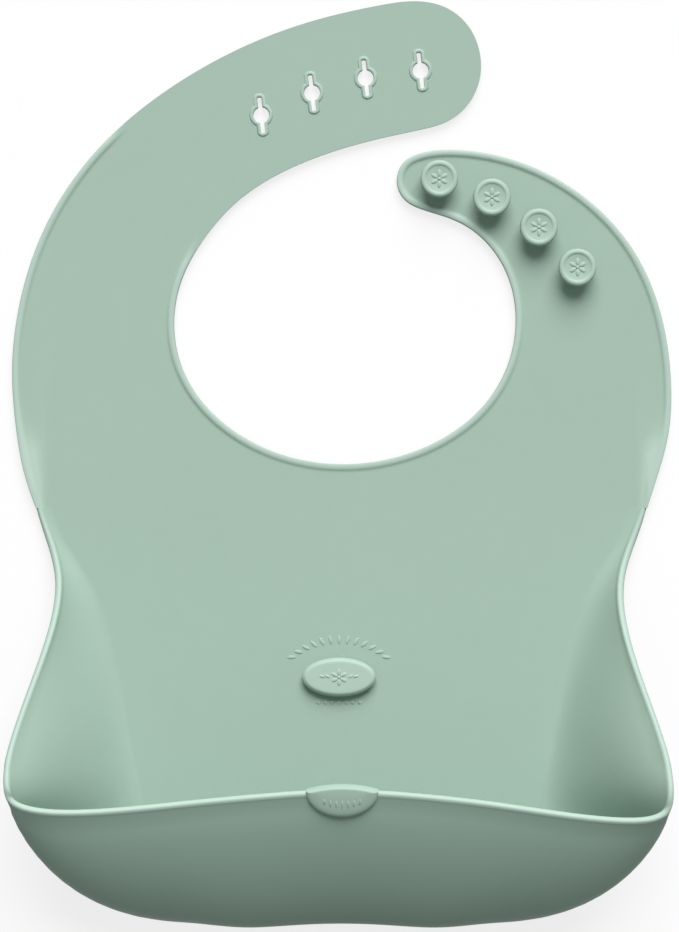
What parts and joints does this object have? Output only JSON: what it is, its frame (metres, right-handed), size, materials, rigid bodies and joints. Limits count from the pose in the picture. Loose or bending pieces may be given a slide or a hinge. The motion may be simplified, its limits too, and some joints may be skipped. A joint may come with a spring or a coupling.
{
  "type": "silicone baby bib",
  "caption": "Moulded silicone baby bib with an open catch pocket, a neck opening and two straps that button together.",
  "frame": {"origin": "middle of the outline, on the plane that the back lies on", "axes": "+Y from the pocket to the neck straps, +Z out of the front, +X to the right of someone facing the front"},
  "size_m": [0.2196, 0.3077, 0.0462],
  "materials": {
    "silicone": "matt moulded silicone, sage green"
  },
  "bodies": {
    "lower_chest": {"lower_panel": "silicone", "left_side_wall": "silicone", "right_side_wall": "silicone", "left_side_rim": "silicone", "right_side_rim": "silicone", "lock_boss": "silicone"},
    "upper_chest": {"chest_panel": "silicone", "chest_bead": "silicone"},
    "holed_strap": {"left_strap": "silicone", "left_strap_bead": "silicone"},
    "holed_strap_tip": {"holed_strap_end": "silicone", "hole_collar_1": "silicone", "hole_collar_2": "silicone", "hole_collar_3": "silicone", "hole_collar_4": "silicone"},
    "buttoned_strap": {"button_strap": "silicone", "button_strap_bead": "silicone", "button_1": "silicone", "button_2": "silicone", "button_3": "silicone", "button_4": "silicone"},
    "pocket_flap": {"pocket_front": "silicone", "lip_rim": "silicone", "lip_tab": "silicone", "lock_socket": "silicone"}
  },
  "joints": [
    {"name": "chest_fold", "type": "hinge", "parent": "lower_chest", "child": "upper_chest", "pos_m": [0, -0.015, 0.001], "axis": [1, 0, 0], "range_deg": [-60, 90], "stiffness_Nm_per_rad": 0.009},
    {"name": "left_shoulder_bend", "type": "hinge", "parent": "upper_chest", "child": "holed_strap", "pos_m": [-0.082, 0.045, 0.001], "axis": [1, 0, 0], "range_deg": [-90, 60], "stiffness_Nm_per_rad": 0.0022},
    {"name": "left_tip_bend", "type": "hinge", "parent": "holed_strap", "child": "holed_strap_tip", "pos_m": [-0.0385, 0.1108, 0.001], "axis": [0.6561, -0.7547, 0], "range_deg": [-60, 45], "stiffness_Nm_per_rad": 0.002},
    {"name": "right_shoulder_bend", "type": "hinge", "parent": "upper_chest", "child": "buttoned_strap", "pos_m": [0.082, 0.045, 0.001], "axis": [1, 0, 0], "range_deg": [-90, 60], "stiffness_Nm_per_rad": 0.002},
    {"name": "pocket_fold", "type": "hinge", "parent": "lower_chest", "child": "pocket_flap", "pos_m": [0, -0.138, 0.001], "axis": [-1, 0, 0], "range_deg": [-15, 30], "stiffness_Nm_per_rad": 0.25}
  ]
}
